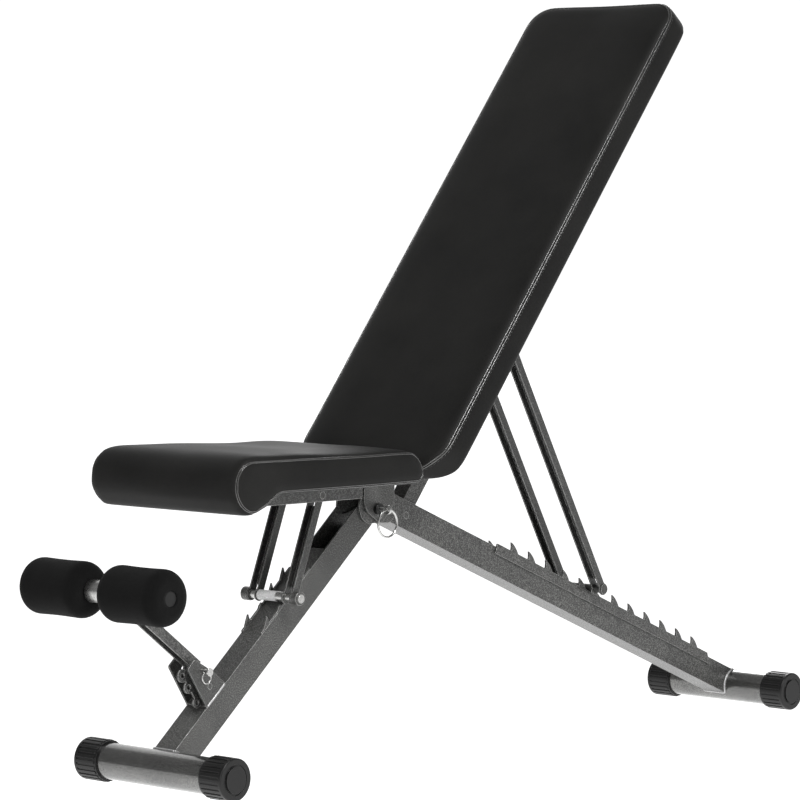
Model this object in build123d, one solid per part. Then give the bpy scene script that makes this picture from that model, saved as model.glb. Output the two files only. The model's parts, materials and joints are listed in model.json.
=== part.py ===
from build123d import *
import os
from math import atan2, cos, degrees, hypot, pi, radians, sin

# Adjustable folding weight bench.
# Millimetres. +X runs from the leg hold to the head end, +Z is up, and the bench is
# mirror-symmetric about the plane Y = 0. The origin is on the floor under the middle.

# ---- driving dimensions -------------------------------------------------------
front_foot_x = -562.8
rear_foot_x = 680.2
foot_tube_radius = 25.0
foot_tube_wall = 2.0
cap_radius = 29.0
cap_length = 44.0
cap_end_wall = 6.0
cap_rim_inset = 2.0
front_foot_half = 143.0
rear_foot_half = 135.0

beam_angle = 21.9
beam_height = 40.0
beam_width = 40.0
beam_wall = 3.0
beam_rise_at_foot = 2.0

post_angle = 40.9
post_depth = 40.0
post_width = 39.0
post_wall = 2.0
post_offset_at_foot = 8.1

fold_pin_x = -159.8
fold_pin_z = 349.0
fold_pin_radius = 5.0
fold_travel = 100.0
fold_clearance = 0.5
beam_setback = 11.1
swing_radius = 51.2
back_pin_x = -98.6
back_pin_radius = 5.0
running_gap = 0.05
side_gap = 0.4

back_angle = 51.5
rail_size = 26.0
rail_length = 640.0
boss_radius = 11.0
pad_half_width = 143.0
pad_back = 57.0
pad_front = 105.0
pad_bottom = 5.0
pad_top = 878.0
board_thickness = 10.0
board_margin = 18.0
back_board_end = 30.0
back_board_corner = 30.0
back_plan_corner = 40.0
pad_bracket_length = 50.0
pad_bracket_reach = 100.0
lower_bracket_at = 120.0
upper_bracket_setback = 80.0
soft_gap = 0.3

seat_top = 449.0
seat_bottom = 400.0
seat_front_x = -564.8
seat_rear_x = -190.8
seat_rail_size = 25.0
tray_sheet = 2.5
tray_gap = 0.5
tray_depth = 24.0
tray_setback = 92.0
tray_reach_rear = 58.0
bracket_sheet = 3.0
seat_board_ends = 110.0
seat_board_shift = 10.0
seat_board_corner = 25.0
seat_roll_length = 84.0
seat_rail_setback = 90.0
tab_reach_front = 34.0
tab_reach_rear = 29.0
tab_lobe_radius = 31.4
tab_eye_radius = 11.0

strut_width = 17.0
strut_depth = 12.0
strut_sheet = 2.0
strut_ear_radius = 9.0
catch_radius = 6.0

back_strut_pivot = 315.6
back_strut_inside = 27.7
back_catch_at = 436.7
ladder_sheet = 3.0
ladder_lap = 10.5
ladder_floor = 4.5
ladder_tip = 16.0
ladder_pitch = 42.6
ladder_start = 203.0
ladder_end = 750.0
catch_clearance = 0.4

seat_strut_inside = 25.0
seat_strut_pivot_x = -298.2
seat_catch_at = 296.4
seat_sleeve_radius = 7.2
seat_hook_pitch = 30.5
seat_hook_height = 9.0
seat_ladder_strip = 2.5

roller_x = -671.2
roller_z = 275.0
roller_radius = 38.0
roller_rounding = 17.0
roller_inner_end = 20.0
roller_outer_end = 130.0
roller_axle_radius = 10.0
roller_sleeve_radius = 15.5

arm_angle = -36.5
arm_sheet = 2.5
arm_half_width = 9.0
arm_depth = 15.0
arm_pivot_s = 118.0
arm_pivot_v = 38.0
arm_pin_s = 120.8
arm_pin_v = 64.7
arm_bolt_radius = 4.0
arm_stop_thickness = 3.2
leg_bracket_low = 95.0
leg_bracket_high = 141.0
lobe_hole_radius = 3.6
lock_radius = 3.5
loop_radius = 8.0
loop_wire = 1.0
loop_hole_radius = 2.15
loop_standoff = 9.0
loop_setback = 4.0
lock_head_radius = 5.5

ring_pin_x = -166.8
ring_pin_z = 357.5
ring_pin_radius = 3.6
ring_radius = 19.5
ring_wire = 1.6
pin_standoff = 0.5


# ---- helpers ------------------------------------------------------------------
def side_plane(x, z, angle=0.0, y=0.0):
    """Drawing plane parallel to XZ: u runs at the angle, v is square to it."""
    a = radians(angle)
    return Plane(origin=(x, y, z), x_dir=(cos(a), 0, sin(a)), z_dir=(0, -1, 0))


def slab(sketch, frame, y_from, y_to):
    """Thickness of a side-view sketch between two Y positions."""
    x, z, angle = frame
    low = min(y_from, y_to)
    high = max(y_from, y_to)
    return extrude(side_plane(x, z, angle, high) * sketch, amount=high - low)


def pair(sketch, frame, y_inner, y_outer):
    """The same sketch on the near (-Y) and the far (+Y) side."""
    near = slab(sketch, frame, -y_outer, -y_inner)
    far = slab(sketch, frame, y_inner, y_outer)
    return near, far


def rod(x, z, radius, y_from, y_to):
    return slab(Circle(radius), (x, z, 0.0), y_from, y_to)


def tube(x, z, radius, bore, y_from, y_to):
    return slab(Circle(radius) - Circle(bore), (x, z, 0.0), y_from, y_to)


def disc(u, v, radius):
    return Pos(u, v) * Circle(radius)


def block(u0, u1, v0, v1):
    return Pos((u0 + u1) / 2, (v0 + v1) / 2) * Rectangle(u1 - u0, v1 - v0)


def outline(*points):
    return make_face(Polyline(*points, close=True))


def spans(u0, v0, r0, u1, v1, r1):
    """Outline that wraps two circles."""
    a = atan2(v1 - v0, u1 - u0)
    d = hypot(u1 - u0, v1 - v0)
    t = pi / 2 - atan2(r0 - r1, (d * d - (r0 - r1) ** 2) ** 0.5)
    web = outline(
        (u0 + r0 * cos(a + t), v0 + r0 * sin(a + t)),
        (u1 + r1 * cos(a + t), v1 + r1 * sin(a + t)),
        (u1 + r1 * cos(a - t), v1 + r1 * sin(a - t)),
        (u0 + r0 * cos(a - t), v0 + r0 * sin(a - t)),
    )
    return web + disc(u0, v0, r0) + disc(u1, v1, r1)


def world(frame, u, v):
    x, z, angle = frame
    a = radians(angle)
    return x + u * cos(a) - v * sin(a), z + u * sin(a) + v * cos(a)


def local(frame, x, z):
    x0, z0, angle = frame
    a = radians(angle)
    dx = x - x0
    dz = z - z0
    return dx * cos(a) + dz * sin(a), dz * cos(a) - dx * sin(a)


parts = {}

# ---- frames of the inclined members -------------------------------------------
foot_z = cap_radius
beam_slope = sin(radians(beam_angle)) / cos(radians(beam_angle))
back_pin_z = foot_z + beam_rise_at_foot + beam_slope * (rear_foot_x - back_pin_x)
beam = (back_pin_x, back_pin_z, -beam_angle)
post = (front_foot_x + post_offset_at_foot, foot_z, post_angle)
back = (back_pin_x, back_pin_z, back_angle)

fold_u, fold_v = local(beam, fold_pin_x, fold_pin_z)
fold_s, fold_t = local(post, fold_pin_x, fold_pin_z)
rear_foot_u, rear_foot_v = local(beam, rear_foot_x, foot_z)

back_catch_v = beam_height / 2 + ladder_floor + catch_clearance + catch_radius
back_catch_x, back_catch_z = world(beam, back_catch_at, back_catch_v)
back_lift_x, back_lift_z = world(back, back_strut_pivot, 0.0)
back_strut_length = hypot(back_catch_x - back_lift_x, back_catch_z - back_lift_z)
back_strut_angle = degrees(atan2(back_catch_z - back_lift_z, back_catch_x - back_lift_x))

post_face = post_depth / 2
seat_catch_v = post_face + seat_ladder_strip + catch_clearance + seat_sleeve_radius
seat_catch_x, seat_catch_z = world(post, seat_catch_at, seat_catch_v)
seat_rail_top = seat_bottom - bracket_sheet
seat_rail_z = seat_rail_top - seat_rail_size / 2
seat_strut_length = hypot(seat_catch_x - seat_strut_pivot_x, seat_catch_z - seat_rail_z)
seat_strut_angle = degrees(atan2(seat_catch_z - seat_rail_z, seat_catch_x - seat_strut_pivot_x))

beam_side = beam_width / 2
post_side = post_width / 2
plate_outer = beam_side + bracket_sheet
tab_inner = plate_outer + side_gap
tab_outer = tab_inner + bracket_sheet


# ---- feet: round tubes with ribbed end caps ------------------------------------
def ribbed_cap(x, half, side):
    """Push-on cap: longitudinal grip ribs, a rolled rim and a raised centre disc."""
    inner = half - cap_length
    rim = half - cap_rim_inset
    body = rod(x, foot_z, cap_radius - 1.2, inner, rim)
    rib_count = 24
    rib_width = 4.2
    ribs = Sketch() + [
        Rot(0, 0, 360.0 * i / rib_count) * (Pos(cap_radius - 3.0, 0) * Rectangle(6.0, rib_width))
        for i in range(rib_count)
    ]
    grip = Circle(cap_radius) & ribs
    body += slab(grip, (x, foot_z, 0.0), inner + 3.0, rim - 5.0)
    body += rod(x, foot_z, cap_radius, rim - 5.0, rim)
    body = fillet(body.edges().filter_by(GeomType.CIRCLE).sort_by(Axis.Y)[-1], 1.8)
    body -= rod(x, foot_z, cap_radius * 0.72, rim - 1.2, rim)
    body += rod(x, foot_z, cap_radius * 0.62, rim - 1.2, half - 0.4)
    body -= rod(x, foot_z, foot_tube_radius, inner, half - cap_end_wall)
    if side < 0:
        body = mirror(body, about=Plane.XZ)
    return body


def foot(name, x, half):
    tube_half = half - cap_end_wall
    bore = foot_tube_radius - foot_tube_wall
    parts[name + "_foot_tube"] = tube(x, foot_z, foot_tube_radius, bore, -tube_half, tube_half)
    parts[name + "_foot_cap_near"] = ribbed_cap(x, half, -1)
    parts[name + "_foot_cap_far"] = ribbed_cap(x, half, 1)


foot("front", front_foot_x, front_foot_half)
foot("rear", rear_foot_x, rear_foot_half)

# ---- rear beam: channel open at the top, coped onto the rear foot --------------
beam_front_u = fold_u + beam_setback
half_h = beam_height / 2
channel = slab(block(beam_front_u, rear_foot_u, -half_h, half_h), beam, -beam_side, beam_side)
trough = block(beam_front_u - 1, rear_foot_u - 30, -half_h + beam_wall, half_h + 1)
channel -= slab(trough, beam, beam_wall - beam_side, beam_side - beam_wall)
channel -= rod(rear_foot_x, foot_z, foot_tube_radius, -beam_side, beam_side)
channel -= rod(back_pin_x, back_pin_z, back_pin_radius, -beam_side, beam_side)
parts["rear_beam"] = channel


# ---- notched ladder plates for the back strut ---------------------------------
def ladder_profile():
    """Strip with hooked teeth: steep front face, rounded back falling to the next notch."""
    floor = half_h + ladder_floor
    tip = half_h + ladder_tip
    shape = block(ladder_start, ladder_end, half_h - ladder_lap, floor)
    count = int((ladder_end - ladder_start) / ladder_pitch)
    first = back_catch_at + 10.9 - ladder_pitch * 5
    for i in range(count):
        u = first + ladder_pitch * i
        in_use = abs(u - back_catch_at) < ladder_pitch / 2
        if in_use:
            shape += outline((u, floor - 1), (u, floor + 3.0), (u + 6, floor + 3.0), (u + 14, floor - 1))
            continue
        lip = ThreePointArc((u + 1.5, floor - 1), (u + 0.6, floor + 5), (u - 2.5, tip))
        crown = ThreePointArc((u - 2.5, tip), (u + 8.5, tip - 4.2), (u + 19, floor - 1))
        base = Line((u + 19, floor - 1), (u + 1.5, floor - 1))
        shape += make_face(Wire([lip, crown, base]))
    heel = outline(
        (ladder_end - 1, half_h - ladder_lap),
        (ladder_end + 12, half_h - ladder_lap),
        (ladder_end - 1, floor),
    )
    return shape + heel


near, far = pair(ladder_profile(), beam, beam_side, beam_side + ladder_sheet)
parts["back_ladder_near"] = near
parts["back_ladder_far"] = far

# ---- hinge cheeks at the front end of the beam ---------------------------------
cheek_nose = (fold_pin_x - 16.0, fold_pin_z + 12.0)
cheek = spans(cheek_nose[0], cheek_nose[1], 24.0, fold_pin_x, fold_pin_z + 0.5, 12.5)
cheek += spans(fold_pin_x, fold_pin_z + 0.5, 12.5, fold_pin_x + 19.0, fold_pin_z + 1.0, 14.0)
cheek += spans(cheek_nose[0], cheek_nose[1], 24.0, fold_pin_x + 19.0, fold_pin_z + 9.0, 14.0)
cheek -= disc(fold_pin_x, fold_pin_z, fold_pin_radius)
cheek_near = cheek - disc(ring_pin_x, ring_pin_z, ring_pin_radius + running_gap * 2)
parts["hinge_cheek_near"] = slab(cheek_near, (0, 0, 0), -plate_outer, -beam_side)
parts["hinge_cheek_far"] = slab(cheek, (0, 0, 0), beam_side, plate_outer)
parts["fold_hinge_pin"] = rod(fold_pin_x, fold_pin_z, fold_pin_radius, -tab_outer, tab_outer)
parts["back_hinge_pin"] = rod(back_pin_x, back_pin_z, back_pin_radius, -beam_side, beam_side)

# ---- front post: square tube, front wall slotted near the hinge -----------------
post_end = fold_s - 24.0
slot_start = 400.6
post_body = slab(block(4.0, post_end, -post_face, post_face), post, -post_side, post_side)
inner = post_face - post_wall
inner_side = post_side - post_wall
post_body -= slab(block(0.0, post_end + 1, -inner, inner), post, -inner_side, inner_side)
post_body -= slab(block(slot_start, post_end + 1, inner - 1, post_face + 1), post, -inner_side, inner_side)
ear = outline(
    (post_end - 1, -post_face),
    (fold_s, -post_face),
    (fold_s, fold_t + 7.5),
    (post_end - 1, 4.0),
)
ear += disc(fold_s, fold_t, 7.5)
for piece in pair(ear, post, inner_side, post_side):
    post_body += piece
post_body -= rod(fold_pin_x, fold_pin_z, fold_pin_radius + running_gap, -post_side, post_side)
post_body -= rod(front_foot_x, foot_z, foot_tube_radius, -post_side, post_side)
folded_beam = (fold_pin_x, fold_pin_z, -beam_angle - fold_travel)
relief_v = -half_h - fold_v - fold_clearance
relief = block(beam_setback - fold_clearance, 60.0, relief_v, relief_v + beam_height)
post_body -= slab(relief, folded_beam, -post_side, post_side)
parts["front_post"] = post_body


# ---- hook plates for the seat strut ------------------------------------------------
def hook_profile():
    floor = post_face + seat_ladder_strip
    first = seat_catch_at - 10.0 - seat_hook_pitch
    shape = block(first - 22, first + 3 * seat_hook_pitch + 12, post_face, floor)
    for i in range(4):
        s = first + seat_hook_pitch * i
        if i == 1:
            shape += outline((s, floor - 1), (s, floor + 3.0), (s - 5, floor + 2.5), (s - 12, floor - 1))
            continue
        back_edge = ThreePointArc((s - 16, floor - 1), (s - 7.5, floor + 4.2), (s + 1.5, floor + seat_hook_height))
        lip = Line((s + 1.5, floor + seat_hook_height), (s - 2.5, floor - 1))
        base = Line((s - 2.5, floor - 1), (s - 16, floor - 1))
        shape += make_face(Wire([back_edge, lip, base]))
    return shape


near, far = pair(hook_profile(), post, post_side - bracket_sheet, post_side)
parts["seat_hook_near"] = near
parts["seat_hook_far"] = far

# ---- leg hold bracket on the post --------------------------------------------------
tongue = outline((leg_bracket_low, post_face), (leg_bracket_high, post_face), (134.5, 51.5), (121.5, 86.5), (104.0, 86.0))
tongue = fillet(tongue.vertices().sort_by(Axis.Y)[-2:], 4.0)
tongue -= disc(arm_pivot_s, arm_pivot_v, arm_bolt_radius)
near, far = pair(tongue - disc(arm_pin_s, arm_pin_v, lock_radius + 2 * running_gap), post,
                 post_side - bracket_sheet, post_side)
base_view = block(leg_bracket_low, leg_bracket_high, post_face, post_face + arm_stop_thickness)
saddle_base = slab(base_view, post, -post_side, post_side)
parts["leg_hold_bracket"] = near + far + saddle_base

# ---- leg hold arm: channel with a lobed, drilled end --------------------------------
arm_x, arm_z = world(post, arm_pivot_s, arm_pivot_v)
pin_x, pin_z = world(post, arm_pin_s, arm_pin_v)
lobes = [(front_foot_x + 31.4, 152.0), (front_foot_x + 43.0, 135.5), (front_foot_x + 58.4, 113.4)]
arm_line_x = front_foot_x + 24.0
arm_line_z = 189.4
arm_frame = (arm_line_x, arm_line_z, arm_angle)
roller_u, roller_v = local(arm_frame, roller_x, roller_z)
pin_u, pin_v = local(arm_frame, pin_x, pin_z)
pivot_u, pivot_v = local(arm_frame, arm_x, arm_z)
far_flange = block(roller_u, pin_u, -arm_depth / 2, arm_depth / 2)
far_flange += spans(pivot_u, pivot_v, 10.0, pin_u, pin_v, 8.5)
lobe_points = [local(arm_frame, x, z) for x, z in lobes]
near_flange = far_flange + outline(*lobe_points, (pivot_u, pivot_v), (pin_u, pin_v))
for (u, v), lobe_radius in zip(lobe_points, (9.0, 8.5, 7.5)):
    near_flange += disc(u, v, lobe_radius)
for u, v in lobe_points:
    near_flange -= disc(u, v, lobe_hole_radius)
holes = disc(pin_u, pin_v, lock_radius + 2 * running_gap) + disc(pivot_u, pivot_v, arm_bolt_radius + running_gap)
near = slab(near_flange - holes, arm_frame, -arm_half_width, arm_sheet - arm_half_width)
far = slab(far_flange - holes, arm_frame, arm_half_width - arm_sheet, arm_half_width)
web = block(roller_u, pin_u - 6, arm_depth / 2 - arm_sheet, arm_depth / 2)
arm = near + far + slab(web, arm_frame, -arm_half_width, arm_half_width)
sleeve_half = roller_inner_end - 2.0
arm -= rod(roller_x, roller_z, roller_sleeve_radius, -arm_half_width, arm_half_width)
parts["leg_hold_arm"] = arm
parts["roller_sleeve"] = tube(roller_x, roller_z, roller_sleeve_radius, roller_axle_radius, -sleeve_half, sleeve_half)
spacer = post_side - bracket_sheet - side_gap
near, far = pair(Circle(7.0) - Circle(arm_bolt_radius + running_gap), (arm_x, arm_z, 0), arm_half_width, spacer)
parts["arm_spacer_near"] = near
parts["arm_spacer_far"] = far
arm_bolt = rod(arm_x, arm_z, arm_bolt_radius, -post_side, post_side)
parts["arm_pivot_bolt"] = arm_bolt

# ---- foam rollers on their axle -------------------------------------------------------
axle_end = roller_outer_end - 4.0
parts["roller_axle"] = tube(roller_x, roller_z, roller_axle_radius, 8.0, -axle_end, axle_end)
for label, side in (("near", -1), ("far", 1)):
    foam = rod(roller_x, roller_z, roller_radius, side * roller_inner_end, side * roller_outer_end)
    foam = fillet(foam.edges().filter_by(GeomType.CIRCLE), roller_rounding)
    foam -= rod(roller_x, roller_z, roller_axle_radius + soft_gap,
                side * roller_inner_end, side * roller_outer_end)
    parts["foam_roller_" + label] = foam
    plug = rod(roller_x, roller_z, roller_axle_radius, side * axle_end, side * (axle_end + 3.0))
    plug += rod(roller_x, roller_z, 8.0, side * (axle_end - 12.0), side * axle_end)
    parts["axle_plug_" + label] = plug

# ---- backrest: rail, pad brackets, board and cushion -----------------------------------
half_rail = rail_size / 2
rail = block(0.0, rail_length, -half_rail, half_rail)
rail_body = slab(rail + disc(0, 0, half_rail), back, -half_rail, half_rail)
rail_bore = block(22.0, rail_length + 1, 2.0 - half_rail, half_rail - 2.0)
rail_body -= slab(rail_bore, back, 2.0 - half_rail, half_rail - 2.0)
boss = beam_side - beam_wall - side_gap
rail_body += rod(back_pin_x, back_pin_z, boss_radius, -boss, boss)
rail_body -= rod(back_pin_x, back_pin_z, back_pin_radius + running_gap, -boss, boss)
lift_tube_radius = 9.0
rail_body -= rod(back_lift_x, back_lift_z, lift_tube_radius, -half_rail, half_rail)
parts["back_rail"] = rail_body
plug = block(rail_length - 14.0, rail_length, 2.0 - half_rail, half_rail - 2.0)
plug_body = slab(plug, back, 2.0 - half_rail, half_rail - 2.0)
plug_body += slab(block(rail_length, rail_length + 4.0, -half_rail, half_rail), back, -half_rail, half_rail)
parts["back_rail_plug"] = plug_body

lift_half = back_strut_inside - side_gap
bolt_radius = 5.0
parts["back_lift_tube"] = tube(back_lift_x, back_lift_z, lift_tube_radius,
                               bolt_radius + running_gap, -lift_half, lift_half)

web_back = pad_back - bracket_sheet
for label, u in (("lower", lower_bracket_at), ("upper", rail_length - upper_bracket_setback)):
    u1 = u + pad_bracket_length
    stem = slab(block(u, u + bracket_sheet, half_rail, web_back), back, -half_rail, half_rail)
    stem += slab(block(u1 - bracket_sheet, u1, half_rail, web_back), back, -half_rail, half_rail)
    for side in (-1, 1):
        stem += slab(block(u, u1, half_rail, web_back), back, side * (half_rail - bracket_sheet), side * half_rail)
    stem += slab(block(u, u1, web_back, pad_back), back, -pad_bracket_reach, pad_bracket_reach)
    parts["back_pad_bracket_" + label] = stem

back_length = pad_top - pad_bottom
pad_mid = (pad_top + pad_bottom) / 2


def back_face(offset):
    """Plane parallel to the back pad at a distance from the rail axis."""
    x, z = world(back, pad_mid, offset)
    a = radians(back_angle)
    return Plane(origin=(x, 0, z), x_dir=(cos(a), 0, sin(a)), z_dir=(-sin(a), 0, cos(a)))


board_length = back_length - 2 * board_margin - back_board_end
board_plan = RectangleRounded(board_length, 2 * (pad_half_width - board_margin), back_board_corner)
board = extrude(back_face(pad_back) * (Pos(back_board_end / 2, 0) * board_plan), amount=board_thickness)
parts["back_board"] = board

plan = RectangleRounded(back_length, 2 * pad_half_width, back_plan_corner)
cushion = extrude(back_face(pad_back) * plan, amount=pad_front - pad_back)
rims = cushion.faces().sort_by(Axis((0, 0, 0), (-sin(radians(back_angle)), 0, cos(radians(back_angle)))))
cushion = fillet(rims[-1].edges(), 13.0)
r = 44.0
wedge = outline((pad_bottom - 5, pad_back - 5), (pad_bottom + r, pad_back - 5),
                (pad_bottom + r, pad_back + r), (pad_bottom - 5, pad_back + r))
wedge -= disc(pad_bottom + r, pad_back + r, r)
cushion -= slab(wedge, back, -pad_half_width - 1, pad_half_width + 1)
pocket_plan = offset(board_plan, soft_gap)
pocket = extrude(back_face(pad_back) * (Pos(back_board_end / 2, 0) * pocket_plan), amount=board_thickness + soft_gap)
cushion -= pocket
parts["back_cushion"] = cushion


# ---- struts: folded channels joined by a pivot bolt and a catch bar ---------------------
def strut_bars(frame, length, inside):
    """A pair of channels open to the front, with the web cut back at rounded ends."""
    half = strut_depth / 2
    side_view = block(0.0, length, -half, half)
    side_view += disc(0.0, 0.0, strut_ear_radius) + disc(length, 0.0, strut_ear_radius)
    flange_view = side_view - disc(0.0, 0.0, bolt_radius) - disc(length, 0.0, catch_radius)
    bars = []
    for side in (-1, 1):
        inner_y = side * inside
        outer_y = side * (inside + strut_width)
        bar = slab(flange_view, frame, inner_y, inner_y + side * strut_sheet)
        bar += slab(flange_view, frame, outer_y - side * strut_sheet, outer_y)
        bar += slab(block(15.0, length - 15.0, half - strut_sheet, half), frame, inner_y, outer_y)
        bars.append(bar)
    return bars


back_strut = (back_lift_x, back_lift_z, back_strut_angle)
near, far = strut_bars(back_strut, back_strut_length, back_strut_inside)
parts["back_strut_near"] = near
parts["back_strut_far"] = far
head = 3.0
back_bolt_half = back_strut_inside + strut_width
bolt = rod(back_lift_x, back_lift_z, bolt_radius, -back_bolt_half, back_bolt_half)
catch = rod(back_catch_x, back_catch_z, catch_radius, -back_bolt_half, back_bolt_half)
for side in (-1, 1):
    bolt += rod(back_lift_x, back_lift_z, 8.0, side * back_bolt_half, side * (back_bolt_half + head))
    catch += rod(back_catch_x, back_catch_z, 7.5, side * back_bolt_half, side * (back_bolt_half + 2.0))
parts["back_strut_bolt"] = bolt
parts["back_catch_bar"] = catch

seat_strut = (seat_strut_pivot_x, seat_rail_z, seat_strut_angle)
near, far = strut_bars(seat_strut, seat_strut_length, seat_strut_inside)
parts["seat_strut_near"] = near
parts["seat_strut_far"] = far
seat_bolt_half = seat_strut_inside + strut_width
tray_half = seat_bolt_half + tray_gap + tray_sheet
parts["seat_strut_bolt"] = rod(seat_strut_pivot_x, seat_rail_z, bolt_radius, -tray_half, tray_half)
catch_half = seat_bolt_half + 13.0
catch = rod(seat_catch_x, seat_catch_z, catch_radius, -catch_half, catch_half)
for label, side in (("near", -1), ("far", 1)):
    parts["seat_catch_collar_" + label] = tube(
        seat_catch_x, seat_catch_z, 9.5, catch_radius,
        side * (seat_bolt_half + side_gap), side * (catch_half - 2.0))
sleeve_split = -11.0
parts["seat_catch_sleeve"] = tube(seat_catch_x, seat_catch_z, seat_sleeve_radius, catch_radius + running_gap,
                                  sleeve_split + side_gap, seat_strut_inside - side_gap)
catch += rod(seat_catch_x, seat_catch_z, seat_sleeve_radius, side_gap - seat_strut_inside, sleeve_split)
parts["seat_catch_bar"] = catch

# ---- seat: rail, hinge saddle, pressed tray, board and cushion ----------------------------
flat = (0.0, 0.0, 0.0)
rail_front_x = seat_front_x + seat_rail_setback
rail_rear_x = fold_pin_x - 11.0
half_seat_rail = seat_rail_size / 2
rail = slab(block(rail_front_x, rail_rear_x, seat_rail_top - seat_rail_size, seat_rail_top), flat,
            -half_seat_rail, half_seat_rail)
rail -= slab(block(rail_front_x - 1, rail_rear_x + 1, seat_rail_top - seat_rail_size + 2, seat_rail_top - 2),
             flat, 2.0 - half_seat_rail, half_seat_rail - 2.0)
rail -= rod(seat_strut_pivot_x, seat_rail_z, 8.0, -half_seat_rail, half_seat_rail)
parts["seat_rail"] = rail
parts["seat_lift_tube"] = tube(seat_strut_pivot_x, seat_rail_z, 8.0, bolt_radius + running_gap,
                               side_gap - seat_strut_inside, seat_strut_inside - side_gap)
for label, x0, step in (("front", rail_front_x, -1), ("rear", rail_rear_x, 1)):
    plug = slab(block(min(x0, x0 - 12 * step), max(x0, x0 - 12 * step),
                      seat_rail_top - seat_rail_size + 2, seat_rail_top - 2), flat,
                2.0 - half_seat_rail, half_seat_rail - 2.0)
    plug += slab(block(min(x0, x0 + 3 * step), max(x0, x0 + 3 * step),
                       seat_rail_top - seat_rail_size, seat_rail_top), flat, -half_seat_rail, half_seat_rail)
    parts["seat_rail_plug_" + label] = plug

tab_left = fold_pin_x - tab_reach_front
tab_right = fold_pin_x + tab_reach_rear
tab = block(tab_left, tab_right, seat_rail_top - 14, seat_rail_top)
tab += spans(fold_pin_x - 2.5, fold_pin_z + 26.0, tab_lobe_radius, fold_pin_x, fold_pin_z, tab_eye_radius)
tab &= block(tab_left, tab_right, fold_pin_z - 20, seat_rail_top)
tab -= disc(fold_pin_x, fold_pin_z, fold_pin_radius + running_gap)
near_tab = tab - disc(ring_pin_x, ring_pin_z, ring_pin_radius + running_gap)
saddle = slab(near_tab, flat, -tab_outer, -tab_inner) + slab(tab, flat, tab_inner, tab_outer)
saddle += slab(block(tab_left, tab_right, seat_rail_top, seat_bottom), flat, -tab_outer, tab_outer)
swing = block(fold_pin_x, tab_right + 1, fold_pin_z, seat_bottom + 1) - disc(fold_pin_x, fold_pin_z, swing_radius)
saddle -= slab(swing, flat, -tab_outer, tab_outer)
parts["seat_hinge_saddle"] = saddle
tray_front_x = seat_front_x + tray_setback
tray_rear_x = fold_pin_x - tray_reach_rear
tray = slab(block(tray_front_x, tab_left, seat_rail_top, seat_bottom), flat, -tray_half, tray_half)
tray_side = block(tray_front_x, tray_rear_x, seat_bottom - tray_depth, seat_rail_top)
for side in (-1, 1):
    tray += slab(tray_side, flat, side * (tray_half - tray_sheet), side * tray_half)
tray -= rod(seat_strut_pivot_x, seat_rail_z, bolt_radius + running_gap, -tray_half, tray_half)
parts["seat_tray"] = tray

seat_mid = (seat_front_x + seat_rear_x) / 2
seat_board_length = seat_rear_x - seat_front_x - seat_board_ends
seat_plan = RectangleRounded(seat_board_length, 2 * (pad_half_width - board_margin), seat_board_corner)
seat_face = Plane(origin=(seat_mid + seat_board_shift, 0, seat_bottom), x_dir=(1, 0, 0), z_dir=(0, 0, 1))
parts["seat_board"] = extrude(seat_face * seat_plan, amount=board_thickness)

nose = seat_front_x
roll = make_face(Wire([
    Line((nose + seat_roll_length, seat_bottom), (seat_rear_x - 12, seat_bottom)),
    ThreePointArc((seat_rear_x - 12, seat_bottom), (seat_rear_x - 2.5, seat_bottom + 5),
                  (seat_rear_x, seat_bottom + 15)),
    ThreePointArc((seat_rear_x, seat_bottom + 15), (seat_rear_x - 11, seat_top - 10),
                  (seat_rear_x - 34, seat_top)),
    Line((seat_rear_x - 34, seat_top), (nose + 34, seat_top)),
    ThreePointArc((nose + 34, seat_top), (nose + 8, seat_top - 10), (nose, seat_top - 32)),
    ThreePointArc((nose, seat_top - 32), (nose + 8, seat_bottom - 14), (nose + 32, seat_bottom - 24)),
    ThreePointArc((nose + 32, seat_bottom - 24), (nose + 62, seat_bottom - 13), (nose + seat_roll_length, seat_bottom)),
]))
cushion = slab(roll, flat, -pad_half_width, pad_half_width)
ends = cushion.faces().sort_by(Axis.Y)
cushion = fillet(ends[0].edges() + ends[-1].edges(), 9.0)
pocket = extrude(seat_face * offset(seat_plan, soft_gap), amount=board_thickness + soft_gap)
parts["seat_cushion"] = cushion - pocket

# ---- ring pin on the near tab of the hinge saddle -------------------------------------------
tip_y = -plate_outer - pin_standoff + 0.2
collar_y = -tab_outer
eye_y = collar_y - 15.0
pin = rod(ring_pin_x, ring_pin_z, ring_pin_radius, eye_y, tip_y)
eye = slab(Circle(6.5), flat, -2.0, 2.0)
eye = Pos(ring_pin_x, eye_y - 5.0, ring_pin_z) * Rot(0, 0, 90) * eye
pin += eye
eye_hole = Pos(ring_pin_x, eye_y - 5.0, ring_pin_z) * Rot(0, 90, 0) * Cylinder(2.4, 12.0)
pin -= eye_hole
parts["ring_pin"] = pin
parts["ring_pin_collar"] = tube(ring_pin_x, ring_pin_z, 8.0, ring_pin_radius + running_gap, collar_y - 6.0, collar_y)
hanger = Pos(ring_pin_x, eye_y - 5.0, ring_pin_z - ring_radius) * Rot(90, 0, 0) * Torus(ring_radius, ring_wire)
parts["pull_ring"] = hanger

# ---- lock pin of the leg hold, with its wire loop --------------------------------------------
near_arm_face = -arm_half_width
lock_tip = near_arm_face - pin_standoff
loop_y = -post_side - loop_standoff
lock_head = loop_y - loop_setback
lock = rod(pin_x, pin_z, lock_radius, lock_head, lock_tip)
lock += rod(pin_x, pin_z, lock_head_radius, lock_head - 3.0, lock_head)
lock -= Pos(pin_x, loop_y, pin_z) * Rot(0, 90, 0) * Cylinder(loop_hole_radius, 20.0)
parts["leg_hold_pin"] = lock
loop_path = Pos(pin_x, loop_y, pin_z - loop_radius) * Rot(90, 0, 0) * Torus(loop_radius, loop_wire)
parts["leg_hold_pin_loop"] = loop_path

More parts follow.
